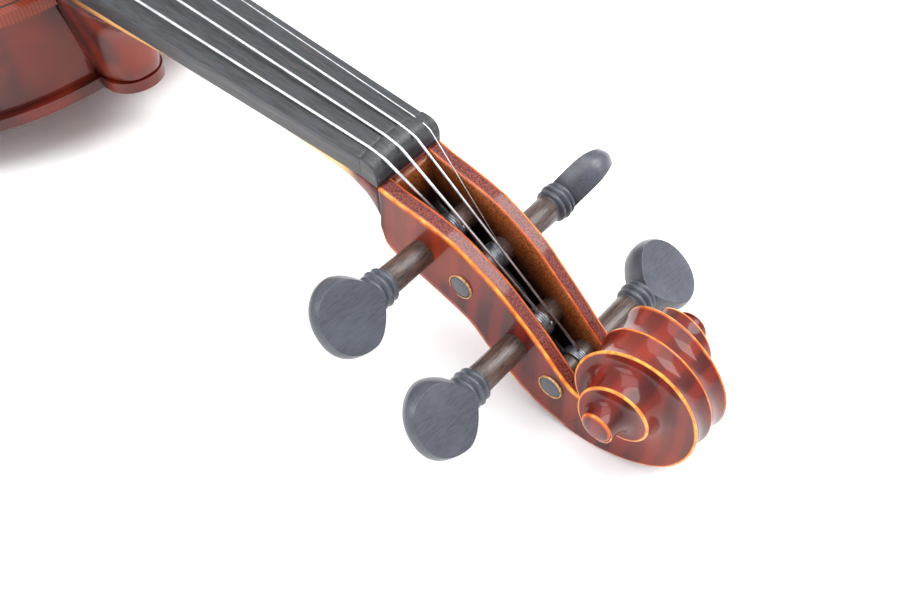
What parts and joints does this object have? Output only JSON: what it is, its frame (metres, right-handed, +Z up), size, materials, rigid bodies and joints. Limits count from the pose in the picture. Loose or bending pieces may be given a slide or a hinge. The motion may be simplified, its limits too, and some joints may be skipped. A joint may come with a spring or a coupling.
{
  "type": "violin",
  "caption": "Full-size left-handed violin lying on its back: carved plates, pegbox with friction pegs, strings, bridge, tailpiece with fine tuner and clamped chin rest.",
  "frame": {"origin": "middle of the whole violin's footprint on the table, under its bounding box", "axes": "+X towards the G string, +Y towards the scroll, +Z up from the table; the strings face up"},
  "size_m": [0.2082, 0.6016, 0.0958],
  "materials": {
    "spruce": "varnished",
    "varnished_maple": "glossy varnish",
    "bare_maple": "bare",
    "purfling": "varnished",
    "ebony": "polished",
    "string_steel": "polished winding",
    "gut": "satin",
    "plated_steel": "nickel plated",
    "cork": "matte"
  },
  "bodies": {
    "violin": {"top_plate": "spruce", "back_plate": "varnished_maple", "top_purfling": "purfling", "back_purfling": "purfling", "neck": "varnished_maple", "saddle": "ebony", "upper_rib_g": "varnished_maple", "upper_rib_e": "varnished_maple", "waist_rib_g": "varnished_maple", "waist_rib_e": "varnished_maple", "lower_rib_g": "varnished_maple", "lower_rib_e": "varnished_maple", "upper_block": "spruce", "lower_block": "spruce", "upper_corner_block_g": "spruce", "upper_corner_block_e": "spruce", "lower_corner_block_g": "spruce", "lower_corner_block_e": "spruce", "top_linings": "spruce", "back_linings": "spruce", "bass_bar": "spruce", "soundpost": "spruce", "string_g": "string_steel", "string_d": "string_steel", "string_a": "string_steel", "string_e": "string_steel", "fingerboard": "ebony", "nut": "ebony", "bridge": "bare_maple", "tailpiece": "ebony", "tailpiece_fret": "ebony", "ball_ends": "string_steel", "tail_gut": "gut", "tuner_frame": "plated_steel", "end_button": "ebony", "chin_rest_cork": "cork", "chin_rest_bracket": "plated_steel", "chin_rest_plate": "ebony"},
    "peg_g": {"peg_g": "ebony", "string_g_turns": "string_steel"},
    "peg_d": {"peg_d": "ebony", "string_d_turns": "string_steel"},
    "peg_a": {"peg_a": "ebony", "string_a_turns": "string_steel"},
    "peg_e": {"peg_e": "ebony", "string_e_turns": "string_steel"},
    "tuner_screw": {"tuner_screw": "plated_steel"},
    "tuner_lever": {"tuner_lever": "plated_steel"},
    "chin_rest_barrel_1": {"chin_rest_barrel_1": "plated_steel"},
    "chin_rest_barrel_2": {"chin_rest_barrel_2": "plated_steel"},
    "chin_rest_foot": {"chin_rest_foot": "plated_steel", "chin_rest_foot_cork": "cork"}
  },
  "joints": [
    {"name": "peg_g_turn", "type": "hinge", "parent": "violin", "child": "peg_g", "pos_m": [0, 0.21684, 0.04031], "axis": [-1, 0, 0], "range_deg": [-1260, 60]},
    {"name": "peg_d_turn", "type": "hinge", "parent": "violin", "child": "peg_d", "pos_m": [0, 0.24717, 0.02343], "axis": [-1, 0, 0], "range_deg": [-1260, 60]},
    {"name": "peg_a_turn", "type": "hinge", "parent": "violin", "child": "peg_a", "pos_m": [0, 0.25902, 0.01481], "axis": [-1, 0, 0], "range_deg": [-1260, 60]},
    {"name": "peg_e_turn", "type": "hinge", "parent": "violin", "child": "peg_e", "pos_m": [0, 0.22952, 0.03505], "axis": [-1, 0, 0], "range_deg": [-1260, 60]},
    {"name": "tuner_screw_travel", "type": "slide", "parent": "violin", "child": "tuner_screw", "axis": [0, 0.2679, -0.9634], "range_m": [0, 0.004]},
    {"name": "tuner_lever_tilt", "type": "hinge", "parent": "violin", "child": "tuner_lever", "pos_m": [-0.01356, -0.19505, 0.076], "axis": [1, 0, 0], "range_deg": [0, 16.41]},
    {"name": "chin_rest_foot_slide", "type": "slide", "parent": "violin", "child": "chin_rest_foot", "axis": [0, 0.0407, -0.9992], "range_m": [0, 0.004]},
    {"name": "chin_rest_barrel_1_turn", "type": "hinge", "parent": "violin", "child": "chin_rest_barrel_1", "pos_m": [0.03489, -0.29236, 0.02649], "axis": [0, -0.0407, 0.9992], "range_deg": [0, 1442]},
    {"name": "chin_rest_barrel_2_turn", "type": "hinge", "parent": "violin", "child": "chin_rest_barrel_2", "pos_m": [0.05847, -0.2879, 0.02667], "axis": [0, -0.0407, 0.9992], "range_deg": [0, 1442]}
  ],
  "couplings": [
    {"joint": "tuner_lever_tilt", "follows": "tuner_screw_travel", "rad_per_m": 68.966},
    {"joint": "chin_rest_barrel_1_turn", "follows": "chin_rest_foot_slide", "rad_per_m": 6283.2},
    {"joint": "chin_rest_barrel_2_turn", "follows": "chin_rest_foot_slide", "rad_per_m": 6283.2}
  ]
}
